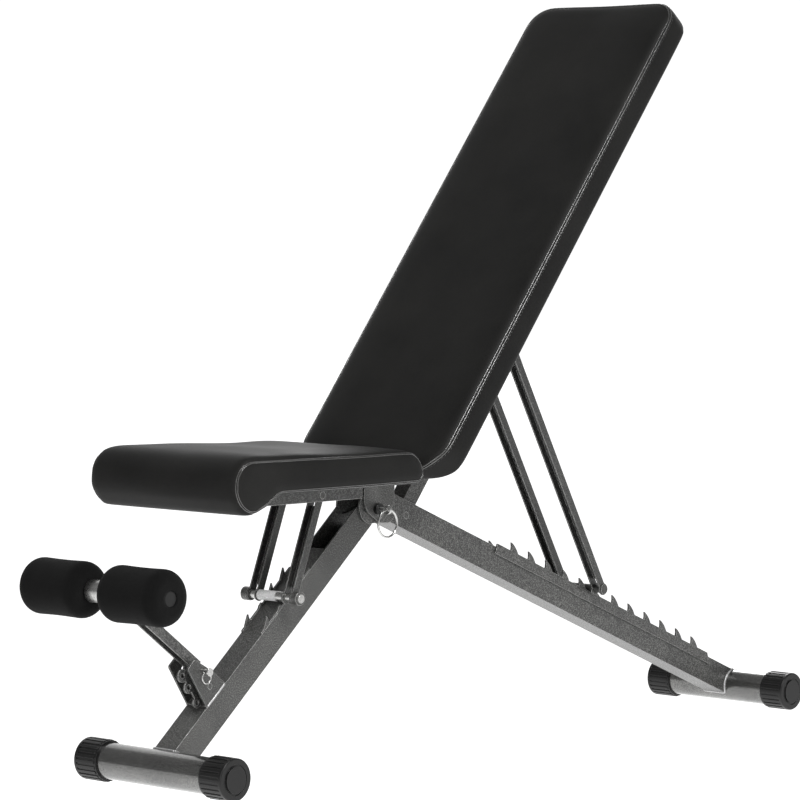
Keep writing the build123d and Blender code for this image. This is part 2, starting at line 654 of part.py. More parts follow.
# ---- output ---------------------------------------------------------------------------------
os.makedirs("parts", exist_ok=True)
for name, solid in parts.items():
    solid = solid.clean() if hasattr(solid, "clean") else solid
    export_step(solid, "parts/" + name + ".step")
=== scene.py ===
import json
import bpy
import bmesh
import numpy as np
from math import asin, cos, pi, radians, sin, sqrt
from mathutils import Matrix, Vector, noise
from mathutils.bvhtree import BVHTree


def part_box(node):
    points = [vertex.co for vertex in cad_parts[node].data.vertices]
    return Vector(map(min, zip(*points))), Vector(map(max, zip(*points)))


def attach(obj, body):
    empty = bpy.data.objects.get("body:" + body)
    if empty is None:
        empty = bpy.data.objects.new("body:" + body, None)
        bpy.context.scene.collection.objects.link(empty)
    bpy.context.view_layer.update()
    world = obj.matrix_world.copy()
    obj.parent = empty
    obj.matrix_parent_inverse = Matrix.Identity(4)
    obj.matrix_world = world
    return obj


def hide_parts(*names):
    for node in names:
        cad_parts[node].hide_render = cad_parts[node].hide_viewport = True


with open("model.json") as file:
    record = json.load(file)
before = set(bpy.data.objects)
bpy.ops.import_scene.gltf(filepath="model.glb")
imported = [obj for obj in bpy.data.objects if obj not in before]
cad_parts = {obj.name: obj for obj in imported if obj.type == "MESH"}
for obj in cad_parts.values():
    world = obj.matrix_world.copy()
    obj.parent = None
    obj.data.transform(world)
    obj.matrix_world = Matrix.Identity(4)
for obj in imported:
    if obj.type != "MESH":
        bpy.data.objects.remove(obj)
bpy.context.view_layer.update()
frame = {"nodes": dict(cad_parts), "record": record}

scene = bpy.context.scene
nodes = frame["nodes"]
record = frame["record"]


# ------------------------------------------------------------------ node helpers
def new_material(name):
    """A material with a principled shader; gives (material, tree, shader)."""
    m = bpy.data.materials.new(name)
    m.use_nodes = True
    tree = m.node_tree
    tree.nodes.clear()
    out = tree.nodes.new("ShaderNodeOutputMaterial")
    bsdf = tree.nodes.new("ShaderNodeBsdfPrincipled")
    tree.links.new(bsdf.outputs[0], out.inputs[0])
    return m, tree, bsdf


def add(tree, kind, **values):
    """Adds a node and sets its inputs or its properties by name."""
    n = tree.nodes.new(kind)
    for k, v in values.items():
        if k in n.inputs:
            n.inputs[k].default_value = v
        else:
            setattr(n, k, v)
    return n


def coords(tree, scale=(1, 1, 1)):
    """Object coordinates, scaled."""
    tc = tree.nodes.new("ShaderNodeTexCoord")
    mp = tree.nodes.new("ShaderNodeMapping")
    mp.inputs["Scale"].default_value = scale
    tree.links.new(tc.outputs["Object"], mp.inputs["Vector"])
    return mp.outputs["Vector"]


def ramp(tree, fac, stops):
    """A colour ramp with (position, colour) stops."""
    r = tree.nodes.new("ShaderNodeValToRGB")
    els = r.color_ramp.elements
    while len(els) < len(stops):
        els.new(0.5)
    for e, (p, c) in zip(els, stops):
        e.position = p
        e.color = c if len(c) == 4 else (*c, 1)
    tree.links.new(fac, r.inputs["Fac"])
    return r


def noise_tex(tree, vec, scale, detail=3.0, rough=0.5):
    """The factor of a noise texture."""
    n = add(tree, "ShaderNodeTexNoise", Scale=scale, Detail=detail, Roughness=rough)
    tree.links.new(vec, n.inputs["Vector"])
    return n.outputs["Fac"]


def bump(tree, height, strength, distance, normal=None):
    """A bumped normal, on top of another where one is given."""
    b = add(tree, "ShaderNodeBump", Strength=strength, Distance=distance)
    tree.links.new(height, b.inputs["Height"])
    if normal is not None:
        tree.links.new(normal, b.inputs["Normal"])
    return b.outputs["Normal"]


def mix_rgb(tree, fac, a, b, blend="MIX"):
    """Mixes two colours; each value is a socket or a constant."""
    n = tree.nodes.new("ShaderNodeMix")
    n.data_type = "RGBA"
    n.blend_type = blend
    ins = {s.identifier: s for s in n.inputs}
    for key, val in (("Factor_Float", fac), ("A_Color", a), ("B_Color", b)):
        if hasattr(val, "is_output"):
            tree.links.new(val, ins[key])
        else:
            ins[key].default_value = val if key == "Factor_Float" else (*val[:3], 1)
    return [o for o in n.outputs if o.identifier == "Result_Color"][0]


def edge_mask(tree, radius, low, high):
    """Bright where the surface turns sharply: the mask for a painted highlight along edges."""
    bev = add(tree, "ShaderNodeBevel", samples=4)
    bev.inputs["Radius"].default_value = radius
    geo = tree.nodes.new("ShaderNodeNewGeometry")
    dot = add(tree, "ShaderNodeVectorMath", operation="DOT_PRODUCT")
    tree.links.new(bev.outputs[0], dot.inputs[0])
    tree.links.new(geo.outputs["Normal"], dot.inputs[1])
    r = add(tree, "ShaderNodeMapRange")
    tree.links.new(dot.outputs["Value"], r.inputs["Value"])
    r.inputs["From Min"].default_value = low
    r.inputs["From Max"].default_value = high
    r.inputs["To Min"].default_value = 1.0
    r.inputs["To Max"].default_value = 0.0
    return r.outputs[0], bev.outputs[0]


# ------------------------------------------------------------------ materials
def hammertone(name="frame_paint", base=0.045, light=0.17, glow=0.5, grit=0.4, gloss=0.0):
    """Dark grey textured powder coat with fine pale flecks and a painted highlight along its edges."""
    m, t, b = new_material(name)
    v = coords(t)
    fleck = noise_tex(t, v, 720.0, 3.0, 0.65)
    cloud = noise_tex(t, v, 14.0, 3.0, 0.5)
    flecks = ramp(t, fleck, [(0.36, (base * 0.2,) * 3), (0.5, (base, base, base * 0.98)),
                             (0.64, (light, light, light * 0.97))])
    tone = ramp(t, cloud, [(0.3, (0.8, 0.8, 0.8)), (0.7, (1.15, 1.15, 1.13))])
    body = mix_rgb(t, 1.0, flecks.outputs["Color"], tone.outputs["Color"], "MULTIPLY")
    mask, soft = edge_mask(t, 0.0009, 0.86, 0.985)
    # Painted highlight: the edges are mixed towards a pale grey (glow), as if light caught them.
    painted_edge_light = mix_rgb(t, mask, body, (glow, glow, glow * 0.98))
    t.links.new(painted_edge_light, b.inputs["Base Color"])
    rr = ramp(t, fleck, [(0.3, (0.5 - 0.22 * gloss,) * 3), (0.7, (0.34 - 0.14 * gloss,) * 3)])
    t.links.new(rr.outputs["Color"], b.inputs["Roughness"])
    b.inputs["Metallic"].default_value = 0.35 + 0.5 * gloss
    b.inputs["Coat Weight"].default_value = 0.25 + 0.6 * gloss
    b.inputs["Coat Roughness"].default_value = 0.3 - 0.2 * gloss
    t.links.new(bump(t, fleck, grit, 0.0005, soft), b.inputs["Normal"])
    return m


def zinc(name="zinc_bright", tint=(0.78, 0.78, 0.76), rough=0.22):
    """Plated or blackened steel."""
    m, t, b = new_material(name)
    v = coords(t)
    n = noise_tex(t, v, 240.0, 3.0, 0.6)
    c = ramp(t, n, [(0.3, tuple(x * 0.72 for x in tint)), (0.7, tint)])
    mask, soft = edge_mask(t, 0.0005, 0.85, 0.98)
    # Painted highlight: the edges are mixed towards a near white grey, as if light caught them.
    painted_edge_light = mix_rgb(t, mask, c.outputs["Color"], (0.9, 0.9, 0.88))
    t.links.new(painted_edge_light, b.inputs["Base Color"])
    rr = ramp(t, n, [(0.3, (rough * 1.5,) * 3), (0.7, (rough,) * 3)])
    t.links.new(rr.outputs["Color"], b.inputs["Roughness"])
    b.inputs["Metallic"].default_value = 1.0
    t.links.new(bump(t, n, 0.08, 0.0003, soft), b.inputs["Normal"])
    return m


def plastic(name="cap_plastic", base=0.003, rough=0.38):
    """Moulded plastic whose edges are mixed towards a fixed grey: a painted highlight on dark plastic,
    painted shade on the pale sleeve.
    """
    m, t, b = new_material(name)
    v = coords(t)
    n = noise_tex(t, v, 900.0, 2.0, 0.5)
    c = ramp(t, n, [(0.3, (base * 0.7,) * 3), (0.7, (base * 1.5,) * 3)])
    mask, soft = edge_mask(t, 0.0006, 0.85, 0.98)
    # Painted edge light: the edges are mixed towards a fixed grey, which paints a highlight on the dark
    # caps.
    painted_edge_light = mix_rgb(t, mask, c.outputs["Color"], (0.06, 0.06, 0.06))
    t.links.new(painted_edge_light, b.inputs["Base Color"])
    rr = ramp(t, n, [(0.3, (rough * 1.2,) * 3), (0.7, (rough * 0.9,) * 3)])
    t.links.new(rr.outputs["Color"], b.inputs["Roughness"])
    b.inputs["Specular IOR Level"].default_value = 0.35
    t.links.new(bump(t, n, 0.12, 0.0003, soft), b.inputs["Normal"])
    return m


def vinyl(name="bench_vinyl", base=0.0102, spec=0.1, rough=0.48):
    """Fine-grained black upholstery vinyl."""
    m, t, b = new_material(name)
    v = coords(t)
    cell = add(t, "ShaderNodeTexVoronoi", Scale=620.0, feature="DISTANCE_TO_EDGE")
    t.links.new(v, cell.inputs["Vector"])
    grain = ramp(t, cell.outputs["Distance"], [(0.0, (0, 0, 0)), (0.16, (1, 1, 1))])
    cloud = noise_tex(t, v, 9.0, 4.0, 0.55)
    c = ramp(t, cloud, [(0.3, (base * 0.8, base * 0.8, base * 0.78)),
                        (0.7, (base * 1.3, base * 1.28, base * 1.22))])
    dark = mix_rgb(t, 0.35, c.outputs["Color"], grain.outputs["Color"], "MULTIPLY")
    t.links.new(dark, b.inputs["Base Color"])
    rr = ramp(t, cloud, [(0.25, (rough,) * 3), (0.75, (rough + 0.08,) * 3)])
    t.links.new(rr.outputs["Color"], b.inputs["Roughness"])
    b.inputs["Specular IOR Level"].default_value = spec
    b.inputs["Sheen Weight"].default_value = 0.01
    b.inputs["Sheen Roughness"].default_value = 0.4
    n1 = bump(t, grain.outputs["Color"], 0.16, 0.00025)
    wave = noise_tex(t, v, 26.0, 2.0, 0.5)
    t.links.new(bump(t, wave, 0.08, 0.002, n1), b.inputs["Normal"])
    return m


def foam(name="roller_foam", base=0.0018):
    """Open-celled black foam."""
    m, t, b = new_material(name)
    v = coords(t)
    n = noise_tex(t, v, 1100.0, 3.0, 0.7)
    big = noise_tex(t, v, 60.0, 3.0, 0.6)
    c = ramp(t, n, [(0.35, (base * 0.35,) * 3), (0.7, (base * 1.9,) * 3)])
    tone = ramp(t, big, [(0.3, (0.75,) * 3), (0.7, (1.25,) * 3)])
    both = mix_rgb(t, 1.0, c.outputs["Color"], tone.outputs["Color"], "MULTIPLY")
    t.links.new(both, b.inputs["Base Color"])
    b.inputs["Roughness"].default_value = 0.95
    b.inputs["Specular IOR Level"].default_value = 0.12
    b.inputs["Sheen Weight"].default_value = 0.02
    b.inputs["Sheen Roughness"].default_value = 0.6
    t.links.new(bump(t, n, 0.55, 0.0008), b.inputs["Normal"])
    return m


def board(name="black_board", base=0.03):
    """Dark wood board under the pads."""
    m, t, b = new_material(name)
    v = coords(t, scale=(3.0, 40.0, 40.0))
    n = noise_tex(t, v, 12.0, 5.0, 0.6)
    c = ramp(t, n, [(0.3, (base * 0.5, base * 0.45, base * 0.4)),
                    (0.7, (base * 1.6, base * 1.45, base * 1.25))])
    t.links.new(c.outputs["Color"], b.inputs["Base Color"])
    b.inputs["Roughness"].default_value = 0.7
    t.links.new(bump(t, n, 0.2, 0.0005), b.inputs["Normal"])
    return m


def thread(name="seam_thread"):
    """Seam thread."""
    m, t, b = new_material(name)
    v = coords(t)
    n = noise_tex(t, v, 1500.0, 2.0, 0.5)
    c = ramp(t, n, [(0.3, (0.03,) * 3), (0.7, (0.10,) * 3)])
    t.links.new(c.outputs["Color"], b.inputs["Base Color"])
    b.inputs["Roughness"].default_value = 0.6
    t.links.new(bump(t, n, 0.3, 0.0003), b.inputs["Normal"])
    return m


def weld(name="weld_and_highlight_bead"):
    """Bright weld metal; on the leg bracket its beads are a painted highlight."""
    m, t, b = new_material(name)
    v = coords(t)
    n = noise_tex(t, v, 420.0, 4.0, 0.7)
    c = ramp(t, n, [(0.3, (0.16,) * 3), (0.6, (0.5,) * 3), (0.8, (0.8,) * 3)])
    t.links.new(c.outputs["Color"], b.inputs["Base Color"])
    b.inputs["Metallic"].default_value = 0.7
    b.inputs["Roughness"].default_value = 0.35
    t.links.new(bump(t, n, 0.5, 0.0008), b.inputs["Normal"])
    return m


mats = {
    "frame_grey": hammertone(),
    "black_plastic": plastic(),
    "zinc_steel": zinc(tint=(0.55, 0.55, 0.54)),
    "pale_sleeve": plastic("sleeve_plastic", 0.52, 0.5),
    "black_vinyl": vinyl(),
    "board": board(),
    "black_foam": foam(),
}
bolt_mat = zinc("bolt_steel", (0.13, 0.13, 0.127), 0.45)
# The foot tubes' paint is a glossier, smoother copy of the frame paint; its lighter base colour is a
# painted highlight along the tubes.
foot_lightened_mat = hammertone("foot_paint_lightened", 0.12, 0.22, 0.55, 0.05, 1.0)
# The strut bars' paint is a darker copy of the frame paint: painted shade, darkening the bars to the tone
# of their shaded channel hollows.
strut_shaded_mat = hammertone("strut_paint_shaded", 0.03, 0.11, 0.5, 0.3)
thread_mat = thread()
# The welts' vinyl is glossier than the pads' and has a base three times lighter: the lighter base is a
# painted highlight along the seams.
welt_lightened_mat = vinyl("welt_vinyl_lightened", 0.03, 0.9, 0.2)
weld_and_highlight_mat = weld()
DARK_BOLTS = ("seat_strut_bolt", "arm_pivot_bolt", "back_strut_bolt", "back_catch_bar", "fold_hinge_pin")
FOOT_TUBES = ("front_foot_tube", "rear_foot_tube")
STRUT_BARS = ("back_strut_near", "back_strut_far", "seat_strut_near", "seat_strut_far")
slot_of = {s["node"]: s["material_slot"] for s in record["subparts"]}
for name, obj in nodes.items():
    mat = mats[slot_of[name]]
    if name in DARK_BOLTS:
        mat = bolt_mat
    if name in FOOT_TUBES:
        mat = foot_lightened_mat
    if name in STRUT_BARS:
        mat = strut_shaded_mat
    obj.data.materials.clear()
    obj.data.materials.append(mat)


def auto_smooth(obj, angle=35.0):
    """Smooth shading that keeps edges sharper than the angle."""
    for p in obj.data.polygons:
        p.use_smooth = True
    mod = obj.modifiers.new("smooth_by_angle", "EDGE_SPLIT")
    mod.split_angle = radians(angle)


for name, obj in nodes.items():
    auto_smooth(obj)

# ------------------------------------------------------------------ frame numbers
S = 0.001                       # one millimetre
BACK = radians(51.5)            # slope of the backrest
hinge_at = {j["name"]: Vector(j["pos_m"]) for j in record["behaviour"]["joints"] if "pos_m" in j}
B0 = hinge_at["back_tilt"]
back_u = Vector((cos(BACK), 0, sin(BACK)))
back_v = Vector((-sin(BACK), 0, cos(BACK)))


def back_point(u, y, v):
    """A point of the backrest from its rail axis, in millimetres."""
    return B0 + back_u * (u * S) + Vector((0, y * S, 0)) + back_v * (v * S)


def mesh_object(name, verts, faces, mat, smooth=True):
    """A new object from its points and faces."""
    me = bpy.data.meshes.new(name)
    me.from_pydata([tuple(v) for v in verts], [], faces)
    me.validate()
    me.update()
    o = bpy.data.objects.new(name, me)
    scene.collection.objects.link(o)
    me.materials.append(mat)
    for p in me.polygons:
        p.use_smooth = smooth
    return o


# ------------------------------------------------------------------ cushions
def apply_modifiers(obj):
    """Replaces the mesh by what its modifiers give."""
    dg = bpy.context.evaluated_depsgraph_get()
    dg.update()
    me = bpy.data.meshes.new_from_object(obj.evaluated_get(dg))
    obj.modifiers.clear()
    obj.data = me


CLOTH_FRAMES = 20
SWELL = 3.0                     # cloth pressure
SWELL_CAP = 0.0035              # the most that the cloth moves a point, in metres
EVEN_PASSES = 40                # passes that even out the swell
HELD_PASSES, SHAPED_PASSES = 3, 4
SLACK = 0.0015                  # room that the free cloth starts with


def simulate(obj, hold):
    """Runs the cloth with inner pressure and keeps its last frame."""
    g = obj.vertex_groups.new(name="held")
    for i, h in enumerate(hold):
        g.add([i], h, "REPLACE")
    cl = obj.modifiers.new("cloth", "CLOTH")
    st = cl.settings
    st.quality = 5
    st.mass = 0.3
    st.use_pressure = True
    st.uniform_pressure_force = SWELL
    st.tension_stiffness = 25
    st.compression_stiffness = 25
    st.shear_stiffness = 12
    st.bending_stiffness = 2.0
    st.effector_weights.gravity = 0
    st.vertex_group_mass = "held"
    cl.collision_settings.use_collision = False
    cl.collision_settings.use_self_collision = False
    cl.point_cache.frame_start = 1
    cl.point_cache.frame_end = CLOTH_FRAMES
    for f in range(1, CLOTH_FRAMES + 1):
        scene.frame_set(f)
    apply_modifiers(obj)
    scene.frame_set(1)


def limit_swell(obj, rest):
    """Caps how far each point has moved from rest, and evens it out over its neighbours."""
    count = len(rest)
    start = np.array([tuple(c) for c in rest])
    now = np.empty(count * 3)
    obj.data.vertices.foreach_get("co", now)
    moved = now.reshape(count, 3) - start
    size = np.linalg.norm(moved, axis=1)
    moved *= np.minimum(1.0, SWELL_CAP / np.maximum(size, 1e-9))[:, None]
    ends = np.empty(len(obj.data.edges) * 2, dtype=np.int64)
    obj.data.edges.foreach_get("vertices", ends)
    a, b = ends[0::2], ends[1::2]
    share = 1.0 + np.bincount(a, minlength=count) + np.bincount(b, minlength=count)
    for _ in range(EVEN_PASSES):
        total = moved.copy()
        for axis in range(3):
            total[:, axis] += np.bincount(a, weights=moved[b, axis], minlength=count)
            total[:, axis] += np.bincount(b, weights=moved[a, axis], minlength=count)
        moved = total / share[:, None]
    obj.data.vertices.foreach_set("co", (start + moved).ravel())
    obj.data.update()


def relax(obj, passes, free=None):
    """Smooths the points that are free, or all of them."""
    bm = bmesh.new()
    bm.from_mesh(obj.data)
    verts = [v for v in bm.verts if free is None or free(v.index)]
    for _ in range(passes):
        bmesh.ops.smooth_vert(bm, verts=verts, factor=0.5,
                              use_axis_x=True, use_axis_y=True, use_axis_z=True)
    bm.to_mesh(obj.data)
    bm.free()


def cushion(name, node, voxel, held, mat, axes, shape):
    """Copies the soft solid's outline, remeshes it along its own axes, swells it as cloth and shapes it."""
    me = nodes[node].data.copy()
    me.transform(axes.inverted())
    obj = bpy.data.objects.new(name, me)
    scene.collection.objects.link(obj)
    rm = obj.modifiers.new("remesh", "REMESH")
    rm.mode = "VOXEL"
    rm.voxel_size = voxel
    apply_modifiers(obj)
    obj.data.transform(axes)
    rest = [v.co.copy() for v in obj.data.vertices]
    normals = [v.normal.copy() for v in obj.data.vertices]
    hold = [held(c) for c in rest]
    for i, v in enumerate(obj.data.vertices):
        v.co = rest[i] - normals[i] * (SLACK * (1.0 - hold[i]))
    simulate(obj, hold)
    limit_swell(obj, rest)
    relax(obj, HELD_PASSES, lambda i: hold[i] < 0.99)
    for v in obj.data.vertices:
        v.co = shape(v.co)
    relax(obj, SHAPED_PASSES)
    sub = obj.modifiers.new("sub", "SUBSURF")
    sub.levels = 1
    sub.render_levels = 1
    for p in obj.data.polygons:
        p.use_smooth = True
    obj.data.materials.clear()
    obj.data.materials.append(mat)
    return obj


def back_local(c):
    """A point in the backrest's own millimetres: along, across, out."""
    d = c - B0
    return d.dot(back_u) / S, d.y / S, d.dot(back_v) / S


def back_held(c):
    """How firmly the cloth is held: fully on the board, less on the wrapped edge."""
    u, y, v = back_local(c)
    return 1.0 if v < 71.0 and abs(y) < 127.0 and 20.0 < u < 864.0 else (0.6 if v < 60.0 else 0.0)


def seat_held(c):
    """How firmly the cloth is held: fully on the board, less on the wrapped edge."""
    x, y, z = c.x / S, c.y / S, c.z / S
    if z < 414.0 and abs(y) < 127.0 and x > -505.0:
        return 1.0
    return 0.6 if z < 403.0 and x > -480.0 else 0.0


def round_in(a, b, centre_a, centre_b, r):
    """Brings a point inside a quarter round when it lies past it."""
    da, db = a - centre_a, b - centre_b
    d = sqrt(da * da + db * db)
    if da < 0 < db and d > r:
        return centre_a + da * r / d, centre_b + db * r / d
    return a, b


# The back pad in its own millimetres: its ends along the rail, its half width and its back face.
PAD_LOW, PAD_TOP, PAD_HALF, PAD_BACK = 5.0, 878.0, 143.0, 57.0
LOWER_ROUND, UPPER_ROUND = 74.0, 50.0
EDGE_ROUND, EDGE_RISE = 60.0, 48.0


def back_shape(c):
    """Fuller rounding of the back pad's four corners and of its lower back edge."""
    u, y, v = back_local(c)
    side = -1.0 if y < 0 else 1.0
    u, w = round_in(u, abs(y), PAD_LOW + LOWER_ROUND, PAD_HALF - LOWER_ROUND, LOWER_ROUND)
    top, w = round_in(-u, w, -(PAD_TOP - UPPER_ROUND), PAD_HALF - UPPER_ROUND, UPPER_ROUND)
    u = -top
    u, low = round_in(u, -v, PAD_LOW + EDGE_ROUND, -(PAD_BACK + EDGE_RISE), EDGE_ROUND)
    return back_point(u, side * w, -low)


# The seat's front roll, in metres.
seat_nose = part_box("seat_cushion")[0][0]
ROLL_IN, ROLL_HEIGHT = 0.038, 0.414      # its centre, behind the nose and above the floor
ROLL_ROOM = 0.0388                       # the most that its front lower quarter may reach out
FULLER, LIFT = 0.0055, 0.0042


def smooth_step(t):
    """Eases from 0 to 1."""
    t = max(0.0, min(1.0, t))
    return t * t * (3 - 2 * t)


def seat_shape(c):
    """Fuller underside and level top on the front roll.

    Its front lower quarter keeps off the leg-hold arm.
    """
    along = (c.x - seat_nose) / S
    fall = smooth_step((128.0 - along) / 50.0)
    behind = smooth_step(along / 50.0) * smooth_step((250.0 - along) / 150.0)
    lift = behind * smooth_step((c.z - 0.42) / 0.025)
    c = c + Vector((0, 0, LIFT * lift))
    middle = Vector((seat_nose + ROLL_IN, c.y, ROLL_HEIGHT))
    out = c - middle
    if out.length < 0.015:
        return c
    d = out.normalized()
    below = max(0.0, min(1.0, (0.012 - out.z) / 0.03))
    under = smooth_step((d.x + 0.8) / 0.5)
    far = out.length + FULLER * below * under * fall
    if d.x < 0 and out.z < 0.012:
        far = min(far, ROLL_ROOM + FULLER * under)
    return middle + d * far


back_axes = Matrix((back_u, Vector((0, 1, 0)), back_v)).transposed().to_4x4()
back_axes.translation = B0
back_pad = cushion("back_upholstery", "back_cushion", 0.005, back_held, mats["black_vinyl"],
                   back_axes, back_shape)
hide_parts("back_cushion")
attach(back_pad, "backrest")
seat_pad = cushion("seat_upholstery", "seat_cushion", 0.0045, seat_held, mats["black_vinyl"],
                   Matrix.Identity(4), seat_shape)
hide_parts("seat_cushion")
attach(seat_pad, "seat")


def surface_of(obj):
    """A search tree of the finished surface."""
    dg = bpy.context.evaluated_depsgraph_get()
    dg.update()
    me = bpy.data.meshes.new_from_object(obj.evaluated_get(dg))
    verts = [v.co.copy() for v in me.vertices]
    polys = [tuple(p.vertices) for p in me.polygons]
    tree = BVHTree.FromPolygons(verts, polys)
    bpy.data.meshes.remove(me)
    return tree


def settle(tree, points, lift):
    """Lays points on a surface, a little proud of it."""
    out = []
    for p in points:
        loc, nor, _, _ = tree.find_nearest(p)
        out.append((loc + nor * lift, nor.copy()))
    return out


def resample(points, step, closed=True):
    """Points at even distances along a line."""
    pts = list(points)
    if closed:
        pts = pts + [pts[0]]
    acc = [0.0]
    for a, b in zip(pts, pts[1:]):
        acc.append(acc[-1] + (b - a).length)
    total = acc[-1]
    n = max(8, int(total / step))
    out = []
    k = 0
    for i in range(n if closed else n + 1):
        s = total * i / n
        while k < len(pts) - 2 and acc[k + 1] < s:
            k += 1
        span = acc[k + 1] - acc[k]
        t = 0 if span == 0 else (s - acc[k]) / span
        out.append(pts[k].lerp(pts[k + 1], t))
    return out


def tube(name, path, radius, mat, closed=True, sides=8):
    """A thin tube along (point, normal) pairs."""
    verts, faces = [], []
    n = len(path)
    for i, (p, nor) in enumerate(path):
        a = path[(i - 1) % n][0] if closed or i > 0 else p
        b = path[(i + 1) % n][0] if closed or i < n - 1 else p
        d = (b - a).normalized()
        x = nor - d * nor.dot(d)
        x.normalize()
        y = d.cross(x)
        for k in range(sides):
            ang = 2 * pi * k / sides
            verts.append(p + x * (radius * cos(ang)) + y * (radius * sin(ang)))
    rings = n if closed else n - 1
    for i in range(rings):
        j = (i + 1) % n
        for k in range(sides):
            k2 = (k + 1) % sides
            faces.append((i * sides + k, i * sides + k2, j * sides + k2, j * sides + k))
    if not closed:
        faces.append(tuple(range(sides - 1, -1, -1)))
        faces.append(tuple((n - 1) * sides + k for k in range(sides)))
    return mesh_object(name, verts, faces, mat)


STITCH_ROWS = ((0.0, 0.25), (0.18, 0.9), (0.5, 1.0), (0.82, 0.9), (1.0, 0.25))   # (place, thickness)
STITCH_SIDES = 6


def stitches(name, path, length, gap, radius, mat):
    """A row of short thread stitches along (point, normal) pairs."""
    verts, faces = [], []
    pts = [p for p, _ in path]
    last, sides = len(path) - 1, STITCH_SIDES

    def walk(k, distance):
        gone = 0.0
        while k < last and gone < distance:
            gone += (pts[k + 1] - pts[k]).length
            k += 1
        return k

    i = 0
    while i < last:
        j = walk(i, length)
        a, b = pts[i], pts[j]
        nor = path[i][1]
        d = b - a
        if d.length > 1e-6:
            d.normalize()
            y = d.cross(nor).normalized()
            base = len(verts)
            for t, r in STITCH_ROWS:
                c = a.lerp(b, t) + nor * (radius * 0.5 * sin(pi * t))
                for k in range(sides):
                    ang = 2 * pi * k / sides
                    verts.append(c + (nor * cos(ang) + y * sin(ang)) * (radius * r))
            for q in range(len(STITCH_ROWS) - 1):
                this, following = base + q * sides, base + (q + 1) * sides
                for k in range(sides):
                    k2 = (k + 1) % sides
                    faces.append((this + k, this + k2, following + k2, following + k))
            faces.append(tuple(base + k for k in range(sides - 1, -1, -1)))
            faces.append(tuple(base + (len(STITCH_ROWS) - 1) * sides + k for k in range(sides)))
        i = walk(j, gap)
    return mesh_object(name, verts, faces, mat)


def rounded_plan(u0, u1, half, r, steps=10):
    """Rounded rectangle in (u, y)."""
    pts = []
    corners = ((u1 - r, half - r, 0), (u0 + r, half - r, 90),
               (u0 + r, -half + r, 180), (u1 - r, -half + r, 270))
    for cu, cy, start in corners:
        for i in range(steps + 1):
            a = radians(start + 90.0 * i / steps)
            pts.append((cu + r * cos(a), cy + r * sin(a)))
    return pts


SEAM_HEIGHT = 103.0                      # from the rail axis, in millimetres
WELT_DROPS, STITCH_DROP = (0.0, 0.0048), 0.0086
WELT_RADIUS, WELT_PROUD = 0.0012, 0.0004
back_tree = surface_of(back_pad)
seam_line = [back_point(u, y, SEAM_HEIGHT) for u, y in rounded_plan(8.0, 875.0, 141.5, 50.0)]
seam_line = resample(seam_line, 0.004)
for k, drop in enumerate(WELT_DROPS):
    path = settle(back_tree, [p - back_v * drop for p in seam_line], WELT_PROUD)
    piece = tube("back_seam_welt_%d" % (k + 1), path, WELT_RADIUS, welt_lightened_mat)
    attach(piece, "backrest")
path = settle(back_tree, resample([p - back_v * STITCH_DROP for p in seam_line], 0.0012), 0.0002)
piece = stitches("back_seam_stitches", path, 0.0034, 0.0014, 0.0003, thread_mat)
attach(piece, "backrest")


def seat_outline(inset):
    """Side view of the seat pad, drawn in from its edge, in millimetres."""
    lo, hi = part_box("seat_cushion")
    nose, rear, top, low = lo[0] / S, hi[0] / S, 449.0, 400.0
    rear_low, rear_top, nose_top, nose_low = 22.0, 26.0, 34.0, 38.0     # radii of its corners
    pts = []

    def arc(cx, cz, r, a0, a1, steps=8):
        for i in range(steps + 1):
            a = radians(a0 + (a1 - a0) * i / steps)
            pts.append((cx + (r - inset) * cos(a), cz + (r - inset) * sin(a)))

    arc(rear - rear_low, low + rear_low, rear_low, -70, 0)
    arc(rear - rear_top, top - rear_top, rear_top, 0, 90)
    arc(nose + nose_top, top - nose_top, nose_top, 90, 180)
    arc(nose + nose_low, low + 14, nose_low, 180, 275)
    pts.append((nose + 62, low - 13 + inset))
    pts.append((nose + 84, low + inset))
    return pts


SEAT_SEAM_SIDE = 0.1425                  # how far from the middle the seat's seam runs
seat_tree = surface_of(seat_pad)
for label, side in (("near", -1), ("far", 1)):
    line = [Vector((x * S, side * SEAT_SEAM_SIDE, z * S)) for x, z in seat_outline(3.5)]
    line = resample(line, 0.003)
    for k, dy in enumerate((0.0, 0.0045)):
        path = settle(seat_tree, [p - Vector((0, side * dy, 0)) for p in line], 0.0002)
        piece = tube("seat_seam_%s_%d" % (label, k + 1), path, 0.0008, welt_lightened_mat)
        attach(piece, "seat")

# ------------------------------------------------------------------ foam rollers
FOAM_BORE, FOAM_ROUND, FOAM_SIDES = 0.0103, 0.0168, 64
FOAM_WAIST = 0.0006                      # how far the foam draws in at mid length


def roller_profile(radius, length):
    """Closed outline of a foam roller as (radius, distance along)."""
    corner = []
    for i in range(9):
        a = radians(90.0 * i / 8)
        corner.append((radius - FOAM_ROUND + FOAM_ROUND * sin(a), FOAM_ROUND - FOAM_ROUND * cos(a)))
    body = [(FOAM_BORE, 0.0), (FOAM_BORE + 0.004, 0.0004)] + corner
    rows = 10
    for i in range(1, rows):
        t = i / rows
        body.append((radius - FOAM_WAIST * sin(pi * t), FOAM_ROUND + (length - 2 * FOAM_ROUND) * t))
    body += [(q, length - t) for q, t in reversed(corner)]
    return body + [(FOAM_BORE + 0.004, length - 0.0004), (FOAM_BORE, length)]


